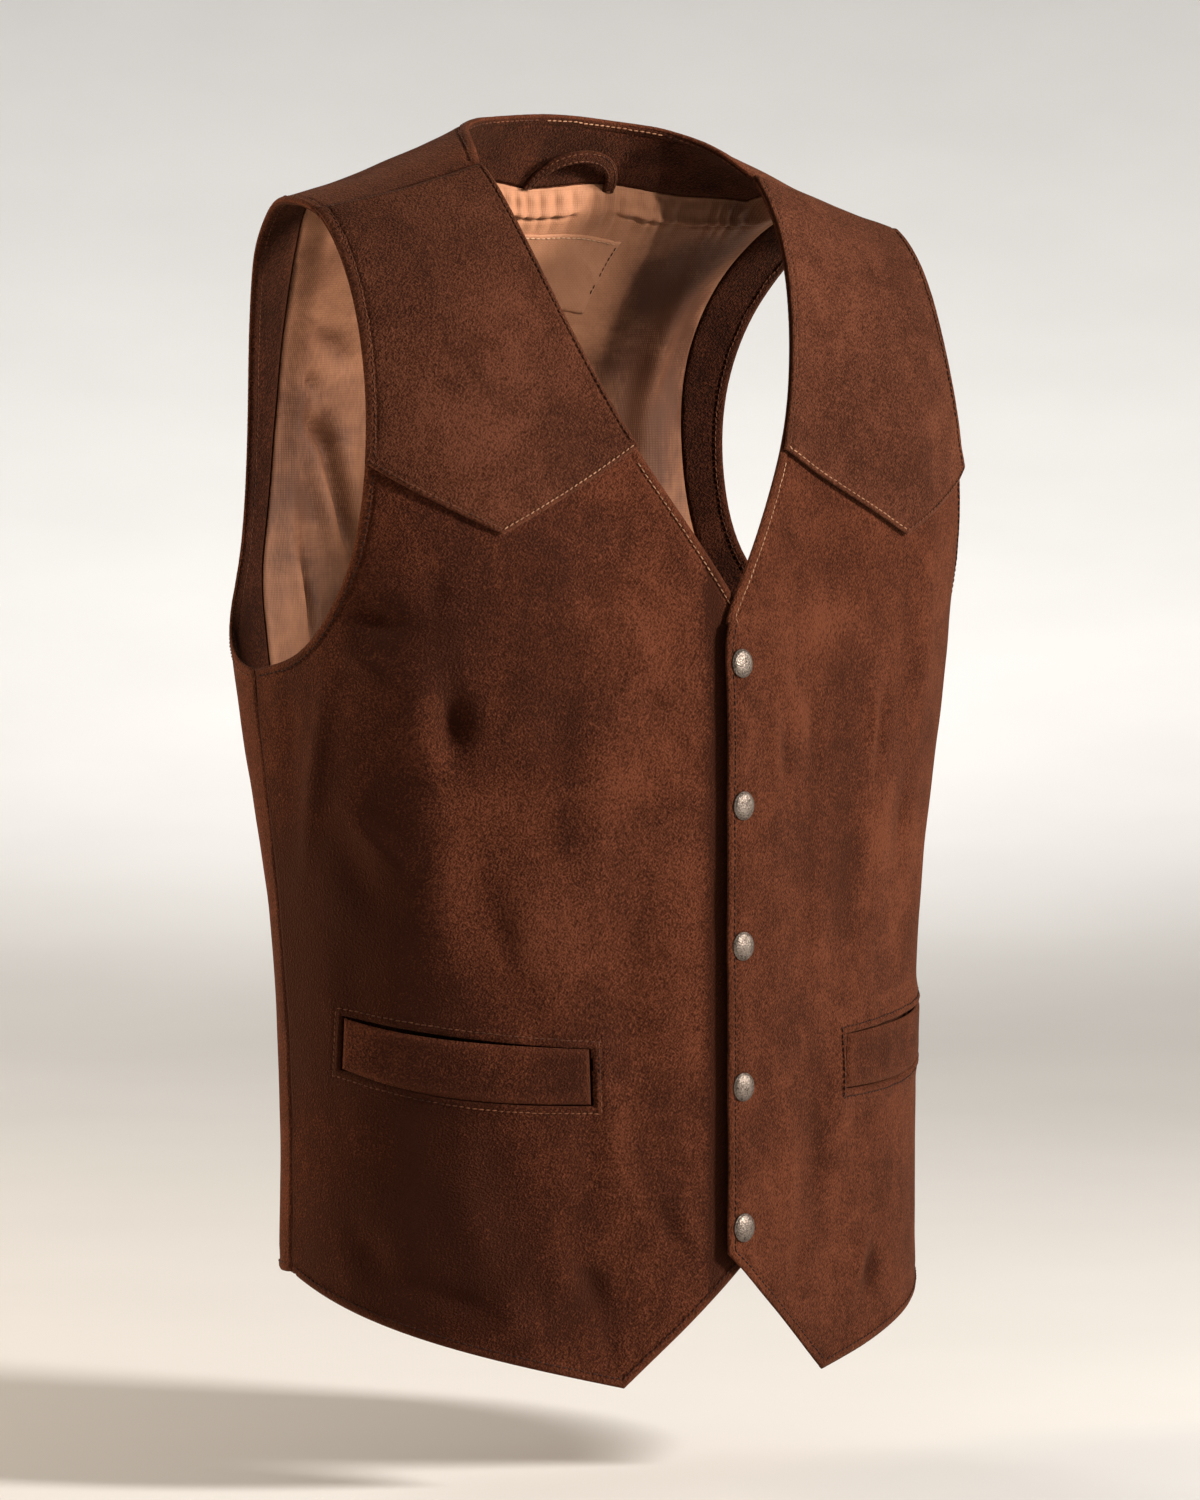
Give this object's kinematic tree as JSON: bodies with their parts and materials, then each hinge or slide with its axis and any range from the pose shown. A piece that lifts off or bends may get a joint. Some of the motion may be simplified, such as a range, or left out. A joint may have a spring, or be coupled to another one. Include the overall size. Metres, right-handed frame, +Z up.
{
  "type": "faux suede vest",
  "caption": "Sleeveless suede-look waistcoat with a V neck, pointed front yokes, welt pockets, a pointed hem and snap caps, filled out as worn.",
  "frame": {"origin": "midway between the two shoulder tips, where the wearer's shoulders hold the vest", "axes": "+Z up along the wearer's spine, the front faces -Y, +X towards the wearer's left"},
  "size_m": [0.412, 0.2714, 0.6651],
  "materials": {
    "suede": "brushed brown faux suede with a short nap, tan topstitching",
    "yoke_suede": "brushed brown faux suede, slightly greyer than the body",
    "facing_suede": "dark brown faux suede, smooth nap",
    "lining": "plain tan woven lining, soft satin",
    "patch": "bare tan woven patch",
    "snap_metal": "antiqued silver, pitted and darkened"
  },
  "bodies": {
    "root": {"front_right": "suede", "front_left": "suede", "back": "suede", "yoke_right": "yoke_suede", "yoke_left": "yoke_suede", "pocket_welt_right": "suede", "pocket_welt_left": "suede", "back_neck_facing": "facing_suede", "armhole_facing_right": "facing_suede", "armhole_facing_left": "facing_suede", "back_lining": "lining", "label_patch": "patch", "hanger_loop": "facing_suede", "snap_1": "snap_metal", "snap_2": "snap_metal", "snap_3": "snap_metal", "snap_4": "snap_metal", "snap_5": "snap_metal"}
  },
  "joints": []
}
